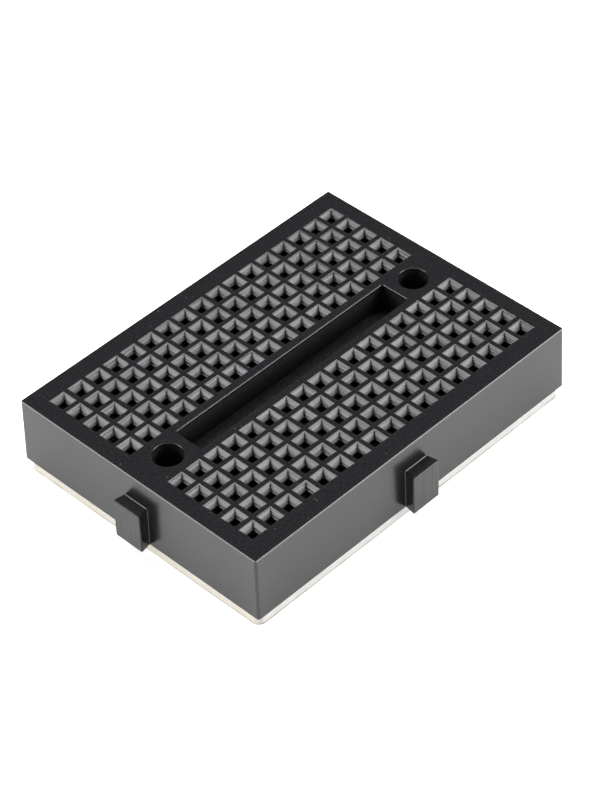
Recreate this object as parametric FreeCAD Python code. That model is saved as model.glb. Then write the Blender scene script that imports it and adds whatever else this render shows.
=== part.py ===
import FreeCAD, Part
import math
import os

# Solderless breadboard with two banks of tie-points, five to a column.
#
# It comes apart into a moulded housing, one sprung contact clip under each
# half column, a foam pad with adhesive on both faces that shuts the clips in
# from below, and the release liner that is peeled off the pad.
#
# Frame, in millimetres: the origin is the centre of the face that the board
# rests on, +X runs along the length, +Y across the width and +Z up. The two
# joining tabs are on the -X and -Y sides, and their sockets are opposite.

# --- driving dimensions -----------------------------------------------------

# tie-point pattern
pitch = 2.54  # both ways within a bank
columns = 17  # along the length
rows = 5  # tie-points that one clip joins
gap_pitches = 3  # between the innermost rows, the span of a chip's legs

# housing
housing_height = 8.19
end_margin = 3.18  # last column to the end wall, at the base
side_margin = 3.53  # outermost row to the side wall, at the base
draft = 0.155  # that each wall leans in by over its whole height
upright_radius = 0.3
top_break_width = 0.085  # of the narrow flat that takes off the top edges
top_break_depth = 0.1

# one tie-point: a square mouth that narrows to the lead hole
ridge = 0.49  # flat left between two mouths
rim_break_width = 0.08
rim_break_depth = 0.035
funnel_depth = 0.68
lead_hole = 0.84
step_depth = 0.47  # where a small upright step crosses the funnel's left and right walls
step_drop = 0.09
step_overrun = 0.045  # that those two walls go on sloping below the other two
roof = 1.1  # top face down to the clip slots

# clip slots, open at the bottom of the housing
slot_wall = 0.64  # between two neighbouring slots
slot_end = 1.3  # last tie-point to the end of its slot

# groove between the banks, and the hollows that core the web below it
groove_wall = 0.66
groove_depth = 3.2
groove_corner_radius = 0.2
groove_rim_radius = 0.12
groove_floor = 1.2
core_wall = 0.8
core_rib = 1.0
core_count = 4

# screw holes, one at each end of the groove, clear for an M3 screw
screw_hole = 3.4
screw_inset = 4.93  # from the end wall, at the base
screw_rim_radius = 0.12
screw_land = 2.945  # screw centre to the end of the groove
screw_wall = 0.9  # left round a screw hole by the coring

# joining tabs, dovetails in plan, and the sockets that take them
tab_width = 3.92
tab_root = 3.4
tab_reach = 1.36  # beyond the wall's foot
tab_height = 5.0
tab_edge_radius = 0.12
tab_foot_radius = 0.1  # where a tab meets its wall
socket_clearance = 0.1
socket_headroom = 0.2

# contact clips, folded from thin strip
strip = 0.2
clip_clearance = 0.1  # to the slot, all round
clip_headroom = 0.5  # from the roof to the outer corners of the leaves' tips
rail_height = 1.5  # of the channel that joins the five pairs of leaves
leaf_slit = 0.64  # between neighbouring leaves
leaf_gap = 0.1  # where a pair of leaves pinches
pinch_drop = 1.7  # below the tips of the leaves
tip_inset = 0.2  # from the side of the channel to the tips of the leaves
bend_radius = 0.3  # outside of the two folds along the strip

# foam pad and its liner
pad_thickness = 1.35
liner_thickness = 0.12
pad_inset = 0.22
pad_corner_radius = 1.0

# --- sizes that follow ------------------------------------------------------

half_span_x = (columns - 1) * pitch / 2
inner_row = gap_pitches * pitch / 2
outer_row = inner_row + (rows - 1) * pitch
bank_centre = (inner_row + outer_row) / 2

base_z = liner_thickness + pad_thickness
top_z = base_z + housing_height
base_half_x = half_span_x + end_margin
base_half_y = outer_row + side_margin
top_half_x = base_half_x - draft
top_half_y = base_half_y - draft

mouth = pitch - ridge
roof_z = top_z - roof
slot_width = pitch - slot_wall
slot_length = (rows - 1) * pitch + 2 * slot_end

groove_half_y = inner_row - slot_end - groove_wall
screw_x = base_half_x - screw_inset
groove_half_x = screw_x - screw_land
groove_z = top_z - groove_depth

clip_width = slot_width - 2 * clip_clearance
clip_length = slot_length - 2 * clip_clearance
clip_height = housing_height - roof - clip_headroom
leaf_width = pitch - leaf_slit

OVERRUN = 0.5  # how far a cutter runs past the face that it opens


# --- shape helpers ----------------------------------------------------------


def vector(x, y, z=0.0):
    return FreeCAD.Vector(x, y, z)


def block(x_low, x_high, y_low, y_high, z_low, z_high):
    """A plain box between two corners."""
    size = (x_high - x_low, y_high - y_low, z_high - z_low)
    return Part.makeBox(*size, vector(x_low, y_low, z_low))


def prism(outline, z_low, z_high):
    """The upright solid over a closed outline of (x, y) points."""
    points = [vector(x, y, z_low) for x, y in outline]
    face = Part.Face(Part.makePolygon(points + points[:1]))
    return face.extrude(vector(0, 0, z_high - z_low))


def stack(levels):
    """The solid through centred rectangles, each (half_x, half_y, z), lowest first."""
    rings = []
    for half_x, half_y, z in levels:
        corners = ((-half_x, -half_y), (half_x, -half_y), (half_x, half_y), (-half_x, half_y))
        rings.append([vector(x, y, z) for x, y in corners])
    loops = [rings[0][::-1], rings[-1]]
    for lower, upper in zip(rings, rings[1:]):
        for i in range(4):
            j = (i + 1) % 4
            loops.append([lower[i], lower[j], upper[j], upper[i]])
    faces = [Part.Face(Part.makePolygon(loop + loop[:1])) for loop in loops]
    return Part.Solid(Part.Shell(faces))


def slab(half_x, half_y, radius, z_low, z_high):
    """A flat plate centred on Z, with rounded corners."""
    plate = block(-half_x, half_x, -half_y, half_y, z_low, z_high)
    return plate.makeFillet(radius, upright_edges(plate))


def moved(shape, x, y, z=0.0):
    copy = shape.copy()
    copy.translate(vector(x, y, z))
    return copy


def upright_edges(shape):
    """Edges that rise from the bottom of a shape to its top."""
    box = shape.BoundBox
    return [
        e
        for e in shape.Edges
        if abs(e.BoundBox.ZMin - box.ZMin) < 1e-6 and abs(e.BoundBox.ZMax - box.ZMax) < 1e-6
    ]


def edges_at(shape, z, half_x=math.inf, half_y=math.inf):
    """Level edges at height z that lie within half_x and half_y of the Z axis."""
    found = []
    for e in shape.Edges:
        box = e.BoundBox
        level = abs(box.ZMin - z) < 1e-6 and abs(box.ZMax - z) < 1e-6
        reach_x = max(abs(box.XMin), abs(box.XMax))
        reach_y = max(abs(box.YMin), abs(box.YMax))
        if level and reach_x <= half_x and reach_y <= half_y:
            found.append(e)
    return found


# --- housing ----------------------------------------------------------------


def tab_outline(clearance):
    """Half outline widths of the dovetail, from inside the wall to its outer face."""
    flare = (tab_width - tab_root) / 2 / tab_reach  # per millimetre of reach, on each side
    inner_reach = -2 * draft - 1.0
    outer_reach = tab_reach + clearance
    inner_half = tab_root / 2 + flare * inner_reach + clearance
    outer_half = tab_width / 2 + clearance
    return inner_reach, inner_half, outer_reach, outer_half


def tab(wall):
    """A dovetail tab that stands out of the wall at distance wall along +X."""
    inner_reach, inner_half, outer_reach, outer_half = tab_outline(0.0)
    outline = [
        (wall + inner_reach, -inner_half),
        (wall + outer_reach, -outer_half),
        (wall + outer_reach, outer_half),
        (wall + inner_reach, inner_half),
    ]
    body = prism(outline, base_z, base_z + tab_height)
    exposed = []
    for e in body.Edges:
        box = e.BoundBox
        on_face = box.XMin > wall + outer_reach - 1e-6
        on_top = box.ZMin > base_z + tab_height - 1e-6 and box.XMax > wall
        at_foot = box.ZMax < base_z + 1e-6
        if (on_face or on_top) and not at_foot:
            exposed.append(e)
    return body.makeFillet(tab_edge_radius, exposed)


def tab_joint(shape, wall, is_along_x):
    """Edges where a tab meets the wall whose foot is at distance wall, on the negative side."""
    found = []
    for e in shape.Edges:
        box = e.BoundBox
        if is_along_x:
            out_low, out_high, side = box.XMin, box.XMax, max(abs(box.YMin), abs(box.YMax))
        else:
            out_low, out_high, side = box.YMin, box.YMax, max(abs(box.XMin), abs(box.XMax))
        in_wall = out_low > -wall - 1e-6 and out_high < -wall + draft
        at_tab = side < tab_width / 2 and box.ZMax < base_z + tab_height + 1e-6
        if in_wall and at_tab and box.ZMax > base_z + 1e-6:
            found.append(e)
    return found


def socket(wall):
    """Cutter for the socket that takes a neighbour's tab, through the wall along +X."""
    inner_reach, inner_half, outer_reach, outer_half = tab_outline(socket_clearance)
    # the tab's outline seen from the other board: widest deep inside, narrowest at the wall
    flare = (outer_half - inner_half) / (outer_reach - inner_reach)
    mouth_half = outer_half - flare * (outer_reach + OVERRUN)
    outline = [
        (wall - outer_reach, -outer_half),
        (wall + OVERRUN, -mouth_half),
        (wall + OVERRUN, mouth_half),
        (wall - outer_reach, outer_half),
    ]
    return prism(outline, base_z - OVERRUN, base_z + tab_height + socket_headroom)


def turned(shape, degrees):
    copy = shape.copy()
    copy.rotate(vector(0, 0), vector(0, 0, 1), degrees)
    return copy


def housing_shell():
    """The outside of the housing with its groove and screw holes, rims rounded."""
    low = (base_half_x, base_half_y, base_z)
    high = (top_half_x, top_half_y, top_z)
    body = stack([low, high])
    body = body.makeFillet(upright_radius, upright_edges(body))
    body = body.common(top_break())

    groove = slab(groove_half_x, groove_half_y, groove_corner_radius, groove_z, top_z + OVERRUN)
    drill = Part.makeCylinder(
        screw_hole / 2, housing_height + 2 * OVERRUN, vector(0, 0, base_z - OVERRUN)
    )
    body = body.cut([groove, moved(drill, screw_x, 0), moved(drill, -screw_x, 0)])
    groove_rim = edges_at(body, top_z, groove_half_x + 1e-6, groove_half_y + 1e-6)
    body = body.makeFillet(groove_rim_radius, groove_rim)
    screw_reach = screw_x + screw_hole / 2 + 1e-6
    screw_rims = [
        e for e in edges_at(body, top_z, screw_reach, screw_hole / 2 + 1e-6) if is_screw_rim(e)
    ]
    return body.makeFillet(screw_rim_radius, screw_rims)


def top_break():
    """The housing's room under the four sloping flats along its top edges."""
    reach = 5  # how many widths the flats carry on past the walls
    outer = (reach - 1) * top_break_width
    shoulder = top_z - reach * top_break_depth
    return stack(
        [
            (top_half_x + outer, top_half_y + outer, base_z - OVERRUN),
            (top_half_x + outer, top_half_y + outer, shoulder),
            (top_half_x - top_break_width, top_half_y - top_break_width, top_z),
        ]
    )


def is_screw_rim(edge):
    """A full circle of the screw holes' radius."""
    curve = edge.Curve
    return isinstance(curve, Part.Circle) and abs(curve.Radius - screw_hole / 2) < 1e-6


def tie_point():
    """Cutter for one tie-point: mouth, funnel and lead hole, down into the slot."""
    mouth_half = mouth / 2
    inner_half = mouth_half - rim_break_width
    throat = lead_hole / 2
    lean = (inner_half - throat) / (funnel_depth - rim_break_depth)  # inwards per depth

    def funnel_half(depth):
        return inner_half - lean * (depth - rim_break_depth)

    step_half = funnel_half(step_depth)
    step_foot = step_depth + step_drop
    side_foot = funnel_depth + step_overrun
    side_throat = funnel_half(side_foot - step_drop)
    return stack(
        [
            (side_throat, throat, roof_z - OVERRUN),
            (side_throat, throat, top_z - side_foot),
            (funnel_half(funnel_depth - step_drop), throat, top_z - funnel_depth),
            (step_half, funnel_half(step_foot), top_z - step_foot),
            (step_half, step_half, top_z - step_depth),
            (inner_half, inner_half, top_z - rim_break_depth),
            (mouth_half, mouth_half, top_z),
        ]
    )


def clip_chamber():
    """Cutter for one clip's slot with its tie-points, centred on its bank and column."""
    half_x = slot_width / 2
    half_y = slot_length / 2
    slot = block(-half_x, half_x, -half_y, half_y, base_z - OVERRUN, roof_z)
    first = -(rows - 1) * pitch / 2
    holes = [moved(tie_point(), 0, first + i * pitch) for i in range(rows)]
    return slot.fuse(holes)


def core_hollows():
    """Cutters that hollow the web under the groove, with ribs left between them."""
    half_y = inner_row - slot_end - core_wall
    reach = min(groove_half_x, screw_x - screw_hole / 2 - screw_wall)
    length = (2 * reach - (core_count - 1) * core_rib) / core_count
    hollow = block(0, length, -half_y, half_y, base_z - OVERRUN, groove_z - groove_floor)
    return [moved(hollow, -reach + i * (length + core_rib), 0) for i in range(core_count)]


def housing():
    body = housing_shell()
    body = body.fuse([turned(tab(base_half_x), 180), turned(tab(base_half_y), -90)])
    body = body.removeSplitter()
    joints = tab_joint(body, base_half_x, True) + tab_joint(body, base_half_y, False)
    body = body.makeFillet(tab_foot_radius, joints)
    cutters = [socket(base_half_x), turned(socket(base_half_y), 90)]
    cutters += core_hollows()
    chamber = clip_chamber()
    cutters += [moved(chamber, x, y) for x, y in clip_places()]
    return body.cut(cutters)


def clip_places():
    """Plan centre of every clip: the near bank from left to right, then the far one."""
    places = []
    for side in (-1, 1):
        for i in range(columns):
            places.append((-half_span_x + i * pitch, side * bank_centre))
    return places


# --- contact clip -----------------------------------------------------------


def leaf_line():
    """Outer face of one side of the strip in (x, z), from the base up to the tip."""
    side = clip_width / 2
    pinch = leaf_gap / 2 + strip
    return [
        (side, 0.0),
        (side, rail_height),
        (pinch, clip_height - pinch_drop),
        (side - tip_inset, clip_height),
    ]


def inset_line(line, distance):
    """The same line moved in by a distance, its corners mitred."""
    shifted = []
    for (x0, z0), (x1, z1) in zip(line, line[1:]):
        length = math.hypot(x1 - x0, z1 - z0)
        nx, nz = -(z1 - z0) / length, (x1 - x0) / length
        shifted.append(((x0 + nx * distance, z0 + nz * distance), (x1 - x0, z1 - z0)))
    points = [shifted[0][0]]
    for (p, d), (q, e) in zip(shifted, shifted[1:]):
        cross = d[0] * e[1] - d[1] * e[0]
        t = ((q[0] - p[0]) * e[1] - (q[1] - p[1]) * e[0]) / cross
        points.append((p[0] + d[0] * t, p[1] + d[1] * t))
    (p, d) = shifted[-1]
    points.append((p[0] + d[0], p[1] + d[1]))
    return points


def clip():
    """A channel of thin strip whose sides are slit into pairs of pinching leaves."""
    outer = leaf_line()
    inner = inset_line(outer, strip)
    inner[0] = (inner[0][0], strip)
    right = outer + inner[::-1]
    section = right + [(-x, z) for x, z in right[::-1]]
    half_y = clip_length / 2
    points = [vector(x, -half_y, z) for x, z in section]
    body = Part.Face(Part.makePolygon(points + points[:1])).extrude(vector(0, clip_length, 0))

    folds = [e for e in body.Edges if is_fold(e)]
    body = body.makeFillet(bend_radius, folds)
    return body.cut(leaf_slits())


def is_fold(edge):
    """The two outer edges along the bottom of the strip."""
    box = edge.BoundBox
    side = clip_width / 2
    along = box.YLength > clip_length - 1e-3
    return along and box.ZMax < 1e-3 and abs(abs(box.Center.x) - side) < 1e-3


def leaf_slits():
    """Cutters between the leaves, round at the bottom, and past the first and last leaf."""
    half_x = clip_width / 2 + OVERRUN
    radius = leaf_slit / 2
    bottom = rail_height + radius
    cutters = []
    for i in range(rows - 1):
        y = (i + 1 - rows / 2) * pitch
        upper = block(-half_x, half_x, y - radius, y + radius, bottom, clip_height + OVERRUN)
        punch = Part.makeCylinder(radius, 2 * half_x, vector(-half_x, y, bottom), vector(1, 0, 0))
        cutters.append(upper.fuse(punch))
    edge = (rows - 1) * pitch / 2 + leaf_width / 2
    far = clip_length / 2 + OVERRUN
    cutters.append(block(-half_x, half_x, edge, far, rail_height, clip_height + OVERRUN))
    cutters.append(block(-half_x, half_x, -far, -edge, rail_height, clip_height + OVERRUN))
    return cutters


# --- foam pad and release liner ---------------------------------------------


def pad_layer(z_low, z_high):
    half_x = base_half_x - pad_inset
    half_y = base_half_y - pad_inset
    return slab(half_x, half_y, pad_corner_radius, z_low, z_high)


# --- write every piece ------------------------------------------------------


def pieces():
    """Every separate piece of the board, by name."""
    made = {"housing": housing()}
    one_clip = clip()
    for n, (x, y) in enumerate(clip_places()):
        bank = "near" if n < columns else "far"
        made[f"clip_{bank}_{n % columns + 1:02d}"] = moved(one_clip, x, y, base_z)
    made["foam_pad"] = pad_layer(liner_thickness, base_z)
    made["release_liner"] = pad_layer(0.0, liner_thickness)
    return made


os.makedirs("parts", exist_ok=True)
for name, shape in pieces().items():
    if len(shape.Solids) != 1 or not shape.isValid():
        raise ValueError(f"{name} is not one valid solid")
    shape.Solids[0].exportStep(f"parts/{name}.step")
    box = shape.BoundBox
    print(f"{name}: {shape.Volume:.2f} mm3, z {box.ZMin:.2f} to {box.ZMax:.2f}")
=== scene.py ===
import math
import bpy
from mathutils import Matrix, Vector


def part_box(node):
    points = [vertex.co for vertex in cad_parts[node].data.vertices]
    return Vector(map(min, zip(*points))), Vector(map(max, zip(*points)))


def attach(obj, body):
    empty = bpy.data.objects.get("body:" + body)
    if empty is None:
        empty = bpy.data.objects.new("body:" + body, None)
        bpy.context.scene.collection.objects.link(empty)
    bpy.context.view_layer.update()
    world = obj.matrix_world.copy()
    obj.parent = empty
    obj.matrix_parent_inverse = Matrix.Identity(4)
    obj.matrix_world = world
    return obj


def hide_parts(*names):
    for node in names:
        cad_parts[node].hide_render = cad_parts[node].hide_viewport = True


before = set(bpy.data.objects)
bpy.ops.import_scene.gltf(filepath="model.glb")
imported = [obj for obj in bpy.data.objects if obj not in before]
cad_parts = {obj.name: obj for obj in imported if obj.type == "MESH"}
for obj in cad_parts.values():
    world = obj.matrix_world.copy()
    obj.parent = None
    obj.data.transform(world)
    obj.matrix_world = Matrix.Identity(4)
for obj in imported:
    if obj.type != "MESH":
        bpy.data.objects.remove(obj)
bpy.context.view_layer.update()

# %% [markdown]
# # A small solderless breadboard
#
# A solderless breadboard is a plastic block full of square holes. Under each row of five holes
# sits a sprung metal clip, and a foam pad with adhesive on both faces closes the block from below.
# The hard parts come from the packed model, which already has every hole, groove, tab and clip at
# its real size. This lesson adds what a hard-surface model can't hold: the moulded plastic's satin,
# the rolled metal's grain, the knife-cut foam and its paper liner, and the light of a small studio.

# %% Tools and the packed model's box
from types import SimpleNamespace

import bpy
import numpy as np
from mathutils import Matrix, Vector

MM = 0.001

# %% [markdown]
# ## Sizes read from the model
#
# Places are never typed in twice. The housing's top and foot, and its walls on the two sides that
# have no tabs, come from the model's own boxes, so a change of the model carries through.

# %% Housing and pad sizes
housing_low, housing_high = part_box("housing")
pad_low, pad_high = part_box("foam_pad")
liner_low, liner_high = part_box("release_liner")
TOP = housing_high.z
HALF_LENGTH = housing_high.x
HALF_WIDTH = housing_high.y
TAB_REACH = -housing_low.x - HALF_LENGTH
print("top at", round(TOP / MM, 2), "mm, tabs reach", round(TAB_REACH / MM, 2), "mm")

# %% [markdown]
# ## The camera
#
# The board is seen from its front left corner, about 43 degrees above the table, with a long lens
# from 30 cm. A long lens keeps the walls nearly upright and the rows nearly parallel. The camera is
# described as a photographer would set it: what it aims at, the bearing and height of its arm, how
# far it stands back, and a slight roll of the horizon.

# %% Camera on its arm
AIM = Vector((-3.58 * MM, -4.31 * MM, TOP))
BEARING = math.radians(-44.25)
HEIGHT_ANGLE = math.radians(43.11)
ROLL = math.radians(2.43)
STAND_BACK = 306.1 * MM
LENS_MM = 132.2


def arm_direction(bearing, height_angle):
    """Unit vector from the board towards something at this bearing (0 is in front, positive
    towards the right) and this angle above the table."""
    level = math.cos(height_angle)
    return Vector((math.sin(bearing) * level, -math.cos(bearing) * level, math.sin(height_angle)))


def make_camera():
    """A camera at the end of its arm. Its right is level before the roll, and its up is
    the cross product of the arm and that right."""
    back = arm_direction(BEARING, HEIGHT_ANGLE)
    level_right = Vector((math.cos(BEARING), math.sin(BEARING), 0))
    level_up = back.cross(level_right)
    right = level_right * math.cos(ROLL) - level_up * math.sin(ROLL)
    turn = Matrix((right, back.cross(right), back)).transposed()
    lens = bpy.data.cameras.new("camera")
    lens.lens = LENS_MM
    lens.clip_start, lens.clip_end = 0.01, 20
    camera = bpy.data.objects.new("camera", lens)
    camera.matrix_world = Matrix.Translation(AIM + back * STAND_BACK) @ turn.to_4x4()
    bpy.context.scene.collection.objects.link(camera)
    return camera


for leftover in ("Cube", "Light", "Camera"):
    if leftover in bpy.data.objects:
        bpy.data.objects.remove(bpy.data.objects[leftover])
bpy.context.scene.camera = make_camera()
print("camera stands at, mm:", [round(v / MM) for v in bpy.context.scene.camera.location])

# %% [markdown]
# ## Shader sums as Python
#
# A finish is easiest to read as a formula: roughness is 0.2 plus a little noise. Blender stores it
# as Math nodes, so three small classes do the wiring. `Signal` holds one output socket, and adding
# or multiplying signals adds Math nodes. `Wiring` holds one node tree, and its `node` method makes
# any other node: its type, its settings, which come first, and then its values or links. A `Finish`
# is the wiring of one material.

# %% Signal: arithmetic on sockets
class Signal:
    """One output of a tree's nodes. Sums on it become Math nodes."""

    def __init__(self, wiring, socket):
        self.wiring = wiring
        self.socket = socket

    def math(self, operation, *inputs):
        """One Math node, its inputs in order."""
        return self.wiring.node("Math", {"operation": operation}, dict(enumerate(inputs)))

    def __add__(self, other):
        return self.math("ADD", self, other)

    def __sub__(self, other):
        return self.math("SUBTRACT", self, other)

    def __rsub__(self, other):
        return self.math("SUBTRACT", other, self)

    def __mul__(self, other):
        return self.math("MULTIPLY", self, other)

    def __abs__(self):
        return self.math("ABSOLUTE", self)

    def or_more(self, other):
        """The larger of the two signals."""
        return self.math("MAXIMUM", self, other)

    __radd__ = __add__
    __rmul__ = __mul__


known = [name.strip("_") for name, made in vars(Signal).items() if callable(made)]
print("signals know:", known)


# %% Wiring: the nodes of one tree
class Wiring:
    """One node tree, and the few kinds of node that the finishes and the room are made of."""

    def __init__(self, tree):
        self.tree = tree

    def node(self, kind, settings=(), values=(), output=0):
        """Add one node. Settings are its attributes; values are numbers or signals."""
        made = self.tree.nodes.new("ShaderNode" + kind)
        for key, value in dict(settings).items():
            setattr(made, key, value)
        for key, value in dict(values).items():
            self.feed(made.inputs[key], value)
        return Signal(self, made.outputs[output])

    def feed(self, socket, value):
        """Link a signal to a socket, or set the socket to a plain number or colour."""
        if isinstance(value, Signal):
            self.tree.links.new(value.socket, socket)
        else:
            socket.default_value = value

    def place(self, stretch=(1, 1, 1)):
        """The point being shaded, in the piece's own coordinates, with each axis multiplied."""
        point = self.node("TexCoord", output="Object")
        return self.node("VectorMath", {"operation": "MULTIPLY"}, {0: point, 1: stretch})

    def axis(self, name):
        """One coordinate of the point being shaded."""
        return self.node("SeparateXYZ", {}, {0: self.place()}, name)

    def noise(self, grain, stretch=(1, 1, 1), detail=2.0, roughness=0.5):
        """Soft noise from 0 to 1 whose lumps are about one grain across, in metres. An axis with
        a stretch below 1 gets longer lumps."""
        values = {
            "Vector": self.place(stretch),
            "Scale": 1 / grain,
            "Detail": detail,
            "Roughness": roughness,
        }
        return self.node("TexNoise", {}, values, "Fac")

    def ramp(self, signal, low, high):
        """0 below low, 1 above high, and a smooth step between them."""
        settings = {"interpolation_type": "SMOOTHSTEP"}
        values = {"Value": signal, "From Min": low, "From Max": high}
        return self.node("MapRange", settings, values)

    def blend(self, share, first, second):
        """A colour that goes from the first to the second as share goes from 0 to 1."""
        return self.node("Mix", {"data_type": "RGBA"}, {0: share, 6: first, 7: second}, 2)


print("wiring makes:", [name for name in vars(Wiring) if not name.startswith("_")])


# %% Finish: one material
class Finish(Wiring):
    """A material with one Principled surface. Keywords set the surface's own sockets."""

    def __init__(self, name, **constants):
        self.material = bpy.data.materials.new(name)
        self.material.use_nodes = True
        super().__init__(self.material.node_tree)
        self.surface = self.tree.nodes["Principled BSDF"]
        self.set_constants(self.surface, constants)

    def set_constants(self, surface, constants):
        """Set sockets to what is the same all over; an underscore stands for a space."""
        for key, value in constants.items():
            surface.inputs[key.replace("_", " ")].default_value = value

    def vary(self, socket, signal):
        """Let a signal drive one socket of the surface."""
        self.feed(self.surface.inputs[socket], signal)

    def bump(self, height, depth, strength=1.0):
        """Turn a height signal into a shading normal; depth is in metres."""
        values = {"Strength": strength, "Distance": depth, "Height": height}
        self.vary("Normal", self.node("Bump", {}, values))

    def second_surface(self, share, colour, constants):
        """Where share is 1, show another Principled surface in place of the first."""
        first = Signal(self, self.surface.outputs["BSDF"])
        second = self.node("BsdfPrincipled", {}, {"Base Color": colour})
        self.set_constants(second.socket.node, constants)
        mixed = self.node("MixShader", {}, {0: share, 1: first, 2: second})
        self.feed(self.tree.nodes["Material Output"].inputs["Surface"], mixed)


print("a finish adds:", [name for name in vars(Finish) if not name.startswith("_")])

# %% [markdown]
# ## Where the mould leaves its marks
#
# A moulding carries the marks of its tool, each in its own place. Here the funnels get fine level
# cutter lines, the groove and the screw holes a rough skin, the tabs' faces upright draw marks,
# and the top an even matt skin. Such places could be painted on a texture, but on a block like
# this each is a plain range of distances: along and across from the middle, in from a wall, and
# down from the top. A mask is 1 in its place and 0 elsewhere, and a product of masks is where they
# all hold.

# %% Masks from distances
# Each pair, in mm, is the distance at which a mask starts to rise and the one at which it is full.
MIDDLE_TO_BANK = (2.4, 2.5)  # just short of the innermost funnels
SIDE_TO_BANK = (2.0, 2.1)  # just short of the outermost funnels
END_TO_BANK = (1.8, 1.9)  # just short of the first and the last column
FUNNEL_LIP = (0.02, 0.06)
FUNNEL_THROAT = (0.25, 0.65)
PAST_GROOVE = (2.2, 2.3)  # just past its walls; the screw holes are narrower
GROOVE_LIP = (0.2, 0.4)
GROOVE_FOOT = (3.0, 3.1)  # just above the groove's floor
UNDER_TOP = (0.003, 0.010)
ON_TAB = (0.0, 0.02)
TAB_FACE = 0.9 * TAB_REACH  # this far out from a wall's foot there is only a tab's outer face


def past(finish, distance, limits):
    """0 where the distance is below both limits and 1 where it is above both."""
    low, high = limits
    return finish.ramp(distance, low * MM, high * MM)


def housing_masks(plastic):
    """The places on the housing that differ from its plain satin. Each mask is a product of
    steps on distances, and the throat also leaves out the walls whose normal is along X."""
    x, y = plastic.axis("X"), plastic.axis("Y")
    along, across, down = abs(x), abs(y), TOP - plastic.axis("Z")
    off_ends = past(plastic, HALF_LENGTH - along, END_TO_BANK)
    off_sides = past(plastic, HALF_WIDTH - across, SIDE_TO_BANK)
    bank = past(plastic, across, MIDDLE_TO_BANK) * off_sides * off_ends
    middle = (1 - past(plastic, across, PAST_GROOVE)) * off_ends
    beyond_left = 0 - x - (HALF_LENGTH + TAB_FACE)
    beyond_front = 0 - y - (HALF_WIDTH + TAB_FACE)
    normal = plastic.node("NewGeometry", output="Normal")
    normal_x = plastic.node("SeparateXYZ", {}, {0: normal}, "X")
    faces_along = plastic.ramp(abs(normal_x), 0.3, 0.5)
    above_floor = 1 - past(plastic, down, GROOVE_FOOT)
    return SimpleNamespace(
        tab_face=past(plastic, beyond_left.or_more(beyond_front), ON_TAB),
        funnel=bank * past(plastic, down, FUNNEL_LIP),
        throat=bank * past(plastic, down, FUNNEL_THROAT) * (1 - faces_along),
        groove_wall=middle * past(plastic, down, GROOVE_LIP) * above_floor,
        top=1 - past(plastic, down, UNDER_TOP),
    )


print("a tab's face starts", round(TAB_FACE / MM, 2), "mm out from the wall's foot")

# %% [markdown]
# ## Black moulded plastic
#
# The housing is black ABS with a satin skin. Pure black would look like a hole, so the colour is a
# very dark, slightly blue grey, mottled at the scale of the skin's texture. What the eye reads as
# plastic is the gloss: a middling roughness that wanders a little, and a fine skin of bumps.
#
# The marks ride on that skin, as more relief or more roughness in their own places. The two walls
# of each funnel that face across the board get rougher towards the throat, which dims a lamp's
# glint there. The flat top is a second surface. With gloss it would mirror a lamp as a white sheet
# from some sides, so it is matt, stays dark and even, and carries specks of dust.

# %% Housing finish
DUST = (0.30, 0.29, 0.27, 1)


def dark(level):
    """A very dark grey with a touch of blue."""
    return (level, level * 1.03, level * 1.15, 1)


def make_plastic():
    """Roughness is a base plus weighted noises and masks; relief is a weighted sum of noises,
    each mark times the mask of its place."""
    plastic = Finish("black_satin_plastic", IOR=1.50)
    mask = housing_masks(plastic)
    cloud = plastic.noise(6 * MM, detail=3.0)
    grain = plastic.noise(0.35 * MM, detail=3.0, roughness=0.65)
    mottle = plastic.ramp(plastic.noise(0.22 * MM, detail=3.0, roughness=0.7), 0.34, 0.66)
    tool_marks = plastic.noise(0.09 * MM, stretch=(0.015, 0.015, 1), detail=1.0)
    draw_marks = plastic.noise(0.3 * MM, stretch=(1, 1, 0.04), detail=2.0)
    specks = plastic.ramp(plastic.noise(0.28 * MM, detail=0.0), 0.86, 0.89)

    plastic.vary("Base Color", plastic.blend(mottle, dark(0.0005), dark(0.0115)))
    roughness = 0.21 + 0.03 * cloud + 0.04 * grain + 0.3 * mask.tab_face * draw_marks
    plastic.vary("Roughness", roughness + 0.16 * mask.throat + 0.34 * mask.groove_wall)
    relief = grain + 14.0 * mask.tab_face * draw_marks + 20.0 * mask.funnel * tool_marks
    plastic.bump(relief, depth=0.0012 * MM)

    matt = plastic.blend(mottle, dark(0.003), dark(0.0135))
    matt = plastic.blend(0.2 * mask.top * specks, matt, DUST)
    plastic.second_surface(mask.top, matt, {"Roughness": 0.8, "Specular_IOR_Level": 0.1})
    return plastic.material


plastic_finish = make_plastic()
print("made", plastic_finish.name, "with", len(plastic_finish.node_tree.nodes), "nodes")

# %% [markdown]
# ## Nickel-plated strip
#
# The clips are stamped from rolled phosphor bronze strip with a thin nickel plate. Rolling leaves
# hair-fine lines along the strip, so the noise is stretched along the clip's length, and the plate
# is a warm, slightly uneven silver.

# %% Clip finish
BRIGHT_NICKEL = (0.70, 0.67, 0.61, 1)
DULL_NICKEL = (0.55, 0.51, 0.44, 1)


def make_strip_metal():
    """Roughness is 0.2 plus the rolling lines plus a slow tarnish; the lines are also relief."""
    metal = Finish("nickel_plated_strip", Metallic=1.0)
    rolled = metal.noise(0.12 * MM, stretch=(1, 0.05, 1), detail=3.0)
    tarnish = metal.noise(2.5 * MM, detail=2.0)
    metal.vary("Base Color", metal.blend(tarnish, BRIGHT_NICKEL, DULL_NICKEL))
    metal.vary("Roughness", 0.2 + 0.12 * rolled + 0.1 * tarnish)
    metal.bump(rolled, depth=0.002 * MM)
    return metal.material


metal_finish = make_strip_metal()
print("made", metal_finish.name)

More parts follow.
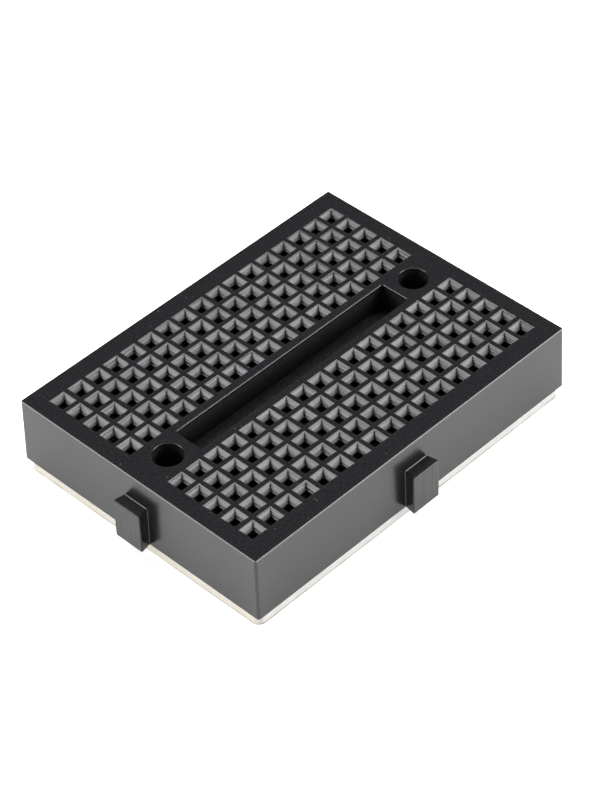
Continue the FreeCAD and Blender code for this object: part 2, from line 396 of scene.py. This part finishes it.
# %% [markdown]
# ## Knife-cut foam
#
# The pad is pale closed-cell foam with adhesive on its two faces. On its cut edge the cells show as
# tiny pits. A darker line at the top and bottom of the edge is painted shade, where the housing and
# the liner meet the pad, faint on the short edges and plain on the long ones. The foam is one
# colour, but its short edges are painted cream as a warm light, and its long ones a cooler, darker
# grey as a dimmer cool light.

# %% Foam finish
CELL = 0.22 * MM
# The width of the painted shade line at the foot and the top of the cut edge.
SHADE_LINE_WIDTH = 0.09 * MM
LONG_EDGE = (0.975, 0.99)  # shares of the half width between which the grey takes over
# Cream is painted warm light on the short edges, and pale is a painted cooler, dimmer light on the
# long ones; the foam itself is one colour.
CREAM_WARM_LIGHT, DEEP_CREAM_WARM_LIGHT = (0.675, 0.63, 0.555, 1), (0.60, 0.55, 0.47, 1)
PALE_COOL_LIGHT, DEEP_PALE_COOL_LIGHT = (0.51, 0.503, 0.48, 1), (0.46, 0.452, 0.42, 1)
# These two are painted shade lines, where the liner and the housing meet the pad.
CREAM_SHADE_LINE, PALE_SHADE_LINE = (0.66, 0.62, 0.54, 1), (0.33, 0.32, 0.30, 1)


def make_foam():
    """The colour goes from a painted warm cream to a painted cooler, darker grey at the long edges,
    and to painted shade in a thin line at the foot and the top of the cut."""
    foam = Finish("pale_closed_cell_foam", Roughness=0.85)
    cells = foam.node("TexVoronoi", {}, {"Vector": foam.place(), "Scale": 1 / CELL}, "Distance")
    mottle = foam.noise(1.5 * MM, detail=3.0)
    height = foam.axis("Z")
    # Painted shade in thin lines where the liner and the housing meet the pad.
    lower_shade_line = 1 - foam.ramp(height, pad_low.z + 0.3 * SHADE_LINE_WIDTH, pad_low.z + SHADE_LINE_WIDTH)
    upper_shade_line = foam.ramp(height, pad_high.z - SHADE_LINE_WIDTH, pad_high.z - 0.3 * SHADE_LINE_WIDTH)
    half_width = pad_high.y
    long_edge = foam.ramp(abs(foam.axis("Y")), *(share * half_width for share in LONG_EDGE))
    # Painted warm light on the short edges and painted cooler, dimmer light on the long ones.
    cream = foam.blend(mottle, CREAM_WARM_LIGHT, DEEP_CREAM_WARM_LIGHT)
    pale = foam.blend(mottle, PALE_COOL_LIGHT, DEEP_PALE_COOL_LIGHT)
    shade_line = foam.blend(long_edge, CREAM_SHADE_LINE, PALE_SHADE_LINE)
    colour = foam.blend(long_edge, cream, pale)
    foam.vary("Base Color", foam.blend(lower_shade_line + upper_shade_line, colour, shade_line))
    foam.bump(cells, depth=0.05 * MM, strength=0.8)
    return foam.material


foam_finish = make_foam()
print("made", foam_finish.name)

# %% [markdown]
# ## Release paper
#
# The liner is thin buff paper with a silicone coat, so it is smoother than plain paper: faint
# fibres in its colour under a low sheen.

# %% Liner finish
BUFF, DEEP_BUFF = (0.56, 0.51, 0.42, 1), (0.48, 0.43, 0.35, 1)


def make_release_paper():
    """One noise, stretched along the sheet, is the fibres in colour, roughness and relief."""
    paper = Finish("silicone_release_paper", Coat_Weight=0.25, Coat_Roughness=0.3)
    fibre = paper.noise(0.25 * MM, stretch=(1, 0.3, 1), detail=4.0, roughness=0.7)
    paper.vary("Base Color", paper.blend(fibre, BUFF, DEEP_BUFF))
    paper.vary("Roughness", 0.5 + 0.15 * fibre)
    paper.bump(fibre, depth=0.006 * MM)
    return paper.material


paper_finish = make_release_paper()
print("made", paper_finish.name)

# %% [markdown]
# ## Dressing the packed parts
#
# The housing and the clips keep their packed shapes. Only their material slots change, so nothing
# moves and every hole stays where the model has it.

# %% Give each packed part its finish
def dress(part, finish):
    """Put one finish in place of whatever material the packed part came with."""
    part.data.materials.clear()
    part.data.materials.append(finish)


clips = [part for name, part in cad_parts.items() if name.startswith("clip_")]
for clip in clips:
    dress(clip, metal_finish)
dress(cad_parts["housing"], plastic_finish)
print("dressed the housing and", len(clips), "clips")

# %% [markdown]
# ## Sheets with a cut edge
#
# The pad and its liner are both flat sheets with rounded corners. Each is one closed surface with
# two parameters: round the outline, and out from the middle of the lower face, up the cut edge and
# back to the middle of the upper face. The outline is walked at even steps, so the knife's slight
# wander can be added as a ripple that joins up with itself.

# %% Outline and ripple
STEPS_ROUND = 720
CORNER_RADIUS = 1.0 * MM
CORNER_POINTS = 24
SINES = 14  # summed in one ripple


def rounded_outline(half_x, half_y, radius, steps):
    """Points and outward directions at even steps round a rectangle with quarter-circle corners.
    Each corner is its centre plus the radius times (cos, sin) of an angle that sweeps a quarter
    turn; the straight runs are what joins one corner's end to the next one's start."""
    quarter = np.linspace(0, math.pi / 2, CORNER_POINTS)
    angle = np.concatenate([quarter + corner * math.pi / 2 for corner in range(4)])
    side_x = np.repeat([1, -1, -1, 1], len(quarter)) * (half_x - radius)
    side_y = np.repeat([1, 1, -1, -1], len(quarter)) * (half_y - radius)
    corners = np.stack([side_x + radius * np.cos(angle), side_y + radius * np.sin(angle)], 1)
    loop = np.vstack([corners, corners[:1]])
    turn = np.append(angle, 2 * math.pi)
    walked = np.append(0, np.cumsum(np.hypot(*np.diff(loop, axis=0).T)))
    stops = np.linspace(0, walked[-1], steps, endpoint=False)
    points = np.stack([np.interp(stops, walked, loop[:, i]) for i in (0, 1)], 1)
    facing = np.interp(stops, walked, turn)
    return points, np.stack([np.cos(facing), np.sin(facing)], 1)


def ripple(steps, waves, seed):
    """A closed wave from -1 to 1: a sum of sines with whole numbers of turns, each with a random
    phase and a height that falls as the square root of its number of turns."""
    draw = np.random.default_rng(seed)
    turns = draw.choice(np.arange(2, waves), SINES, replace=False)
    phase = draw.uniform(0, 2 * math.pi, len(turns))
    along = np.linspace(0, 2 * math.pi, steps, endpoint=False)
    wave = (np.sin(np.outer(along, turns) + phase) / np.sqrt(turns)).sum(1)
    return wave / np.abs(wave).max()


print("an outline has", STEPS_ROUND, "steps and corners of", CORNER_RADIUS / MM, "mm")


# %% Closed mesh from rings
def mesh_from_rings(name, rings, low_pole, high_pole):
    """A closed mesh over rings of points, lowest first: quads between neighbouring rings, and a
    fan of triangles from each end ring to its pole. All faces point outwards."""
    count, steps = rings.shape[:2]
    number = np.arange(count * steps).reshape(count, steps)
    here, ahead = number, np.roll(number, -1, axis=1)
    quads = np.stack([here[:-1], ahead[:-1], ahead[1:], here[1:]], -1).reshape(-1, 4)
    low, high = count * steps, count * steps + 1
    floor_fan = np.stack([np.full(steps, low), ahead[0], here[0]], 1)
    roof_fan = np.stack([np.full(steps, high), here[-1], ahead[-1]], 1)
    points = np.vstack([rings.reshape(-1, 3), low_pole, high_pole])
    mesh = bpy.data.meshes.new(name)
    mesh.from_pydata(points.tolist(), [], quads.tolist() + floor_fan.tolist() + roof_fan.tolist())
    mesh.update()
    piece = bpy.data.objects.new(name, mesh)
    bpy.context.scene.collection.objects.link(piece)
    return piece


print("sheets are made by", mesh_from_rings.__name__)

# %% [markdown]
# ## The foam pad
#
# A knife pulled through soft foam leaves an edge that is a little hollow between the two glued
# faces, wanders by a few hundredths of a millimetre, and shows torn cells. The pad's outline is
# inset a different amount at every point of a grid over the cut edge, which gives all three.

# %% Foam pad, cut edge and all
EDGE_ROWS = 15
FACE_SHARES = np.array([0.2, 0.6, 0.95])  # how far out the rings on the two faces lie


def make_pad():
    """Rings go out under the pad, up the edge and back over it. On the edge the inset is a
    parabola for the hollow, plus the knife's ripple and a second one that grows with height, plus
    fine random tearing, which is less at the two rims."""
    outline, outward = rounded_outline(pad_high.x, pad_high.y, CORNER_RADIUS, STEPS_ROUND)
    thick = pad_high.z - pad_low.z
    edge = np.linspace(0, 1, EDGE_ROWS)[:, None]
    hollow = 0.05 * MM * (1 - (2 * edge - 1) ** 2)
    wander = 0.035 * MM * (1 + ripple(STEPS_ROUND, 60, seed=4)[None, :])
    lean = 0.03 * MM * (1 + ripple(STEPS_ROUND, 24, seed=9)[None, :]) * edge
    torn = np.random.default_rng(21).uniform(0, 0.022 * MM, (EDGE_ROWS, STEPS_ROUND))
    torn[[0, -1]] *= 0.3
    inset = hollow + wander + lean + torn
    height = pad_low.z + thick * (edge + np.zeros((1, STEPS_ROUND)))
    plan = outline[None] - outward[None] * inset[..., None]
    walls = np.concatenate([plan, height[..., None]], -1)
    level = np.ones(len(FACE_SHARES))
    towards_middle = np.stack([FACE_SHARES, FACE_SHARES, level], 1)[:, None, :]
    under = walls[:1] * towards_middle
    over = walls[-1:] * towards_middle[::-1]
    rings = np.concatenate([under, walls, over])
    return mesh_from_rings("pad_foam", rings, (0, 0, pad_low.z), (0, 0, pad_high.z))


pad = make_pad()
pad.data.materials.append(foam_finish)
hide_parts("foam_pad")
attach(pad, "board")
print("pad has", len(pad.data.polygons), "faces")

# %% [markdown]
# ## The release liner
#
# Paper this thin is never quite flat. It lies flat in the middle, and its edge lifts by up to a
# twentieth of a millimetre, here more and there less, which gives the board a thin, uneven shadow
# line. The paper is thinner than the model's plain sheet, and that leaves it the room to lift.

# %% Release liner
PAPER_SHARE = 0.6


def make_liner():
    """Two faces a paper's thickness apart. Both follow one ripple round the edge, which fades to
    nothing towards the middle as the square of the distance out."""
    outline, outward = rounded_outline(liner_high.x, liner_high.y, CORNER_RADIUS, STEPS_ROUND)
    outline = outline - outward * 0.02 * MM * (1 + ripple(STEPS_ROUND, 40, seed=2)[:, None])
    thick = liner_high.z - liner_low.z
    paper = PAPER_SHARE * thick
    lift = 0.5 * (thick - paper) * (1 + ripple(STEPS_ROUND, 30, seed=7))
    shares = np.array([0.2, 0.5, 0.8, 0.93, 1.0])
    plan = outline[None] * shares[:, None, None]
    under = lift[None] * shares[:, None] ** 2 + liner_low.z
    lower = np.concatenate([plan, under[..., None]], -1)
    upper = np.concatenate([plan, (under + paper)[..., None]], -1)[::-1]
    rings = np.concatenate([lower, upper])
    poles = [(0, 0, liner_low.z), (0, 0, liner_low.z + paper)]
    return mesh_from_rings("liner_paper_sheet", rings, *poles)


liner = make_liner()
liner.data.materials.append(paper_finish)
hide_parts("release_liner")
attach(liner, "liner")
print("liner has", len(liner.data.polygons), "faces")

# %% [markdown]
# ## The table
#
# The board stands on plain white card. The card is given a glow of its own, so that it stays
# nearly white and the board's shadow on it is faint. It is also what the board's walls mirror.

# %% Card
HALF_CARD = 3.0  # metres
CARD_GAP = 0.02 * MM  # below the liner, so that the two never share a plane


def make_card():
    """One large square just under the board, its white slightly mottled."""
    card = Finish("white_card", Roughness=0.7, Emission_Color=(1, 1, 1, 1), Emission_Strength=0.62)
    fibre = card.noise(0.8 * MM, detail=2.0)
    card.vary("Base Color", card.blend(fibre, (0.80, 0.80, 0.80, 1), (0.82, 0.82, 0.82, 1)))
    sides = [(-1, -1), (1, -1), (1, 1), (-1, 1)]
    corners = [(x * HALF_CARD, y * HALF_CARD, -CARD_GAP) for x, y in sides]
    mesh = bpy.data.meshes.new("card")
    mesh.from_pydata(corners, [], [(0, 1, 2, 3)])
    mesh.materials.append(card.material)
    table = bpy.data.objects.new("card", mesh)
    bpy.context.scene.collection.objects.link(table)
    return table


print("the table is", make_card().name)

# %% [markdown]
# ## Three soft lights
#
# Black plastic shows mostly what it reflects, so the lights' places decide its look. A funnel's
# walls slope by about 50 degrees. The walls that face left mirror the left light towards the
# camera, and the walls that face the front mirror the right one. The overhead light falls on what
# faces up, and its mirror image in anything level passes high above the camera.

# %% Soft lights
LIGHT_DISTANCE = 0.60  # metres from the board
WHITE = (1, 1, 1)
COOL = (0.97, 0.985, 1.0)


def soft_light(name, bearing, height_angle, width, depth, glow, tint):
    """A rectangular light that faces the board, its width level. Glow is its brightness as seen;
    the power of a rectangle is pi times its area times that glow."""
    lamp = bpy.data.lights.new(name, "AREA")
    lamp.shape = "RECTANGLE"
    lamp.size, lamp.size_y = width, depth
    lamp.energy = math.pi * width * depth * glow
    lamp.color = tint
    light = bpy.data.objects.new(name, lamp)
    bearing, height_angle = math.radians(bearing), math.radians(height_angle)
    direction = arm_direction(bearing, height_angle)
    level = Vector((math.cos(bearing), math.sin(bearing), 0))
    turn = Matrix((level, direction.cross(level), direction)).transposed()
    light.matrix_world = Matrix.Translation(direction * LIGHT_DISTANCE) @ turn.to_4x4()
    light.visible_camera = False
    bpy.context.scene.collection.objects.link(light)


soft_light("overhead", bearing=136, height_angle=75, width=0.90, depth=0.18, glow=12.0, tint=WHITE)
soft_light("left_side", bearing=-124, height_angle=17, width=0.32, depth=0.26, glow=8.8, tint=COOL)
soft_light("right_side", bearing=33, height_angle=14.5, width=0.36, depth=0.32, glow=10.8, tint=COOL)

# %% [markdown]
# ## The room
#
# The room's walls are a soft grey and its ceiling is nearly dark. The satin plastic mirrors both:
# the grey lifts what slopes, and the dark ceiling keeps what faces up dark, such as the groove's
# floor. The standard view transform then shows the colours as they are, with no film look.

# %% Dim room
WALL_GREY, CEILING_GREY = (0.38, 0.39, 0.42, 1), (0.03, 0.03, 0.035, 1)
CEILING_FADE = (0.44, 0.82)  # sines of the angles between which the wall fades into the ceiling


def make_room():
    """A world whose colour goes from wall grey to ceiling grey with the sine of the angle up."""
    room = bpy.data.worlds.new("room")
    room.use_nodes = True
    wiring = Wiring(room.node_tree)
    direction = wiring.node("TexCoord", output="Generated")
    sine_up = wiring.node("SeparateXYZ", {}, {0: direction}, "Z")
    share = wiring.ramp(sine_up, *CEILING_FADE)
    colour = wiring.blend(share, WALL_GREY, CEILING_GREY)
    wiring.feed(room.node_tree.nodes["Background"].inputs["Color"], colour)
    return room


bpy.context.scene.world = make_room()
bpy.context.scene.view_settings.view_transform = "Standard"
print("the room is", bpy.context.scene.world.name)

# %% [markdown]
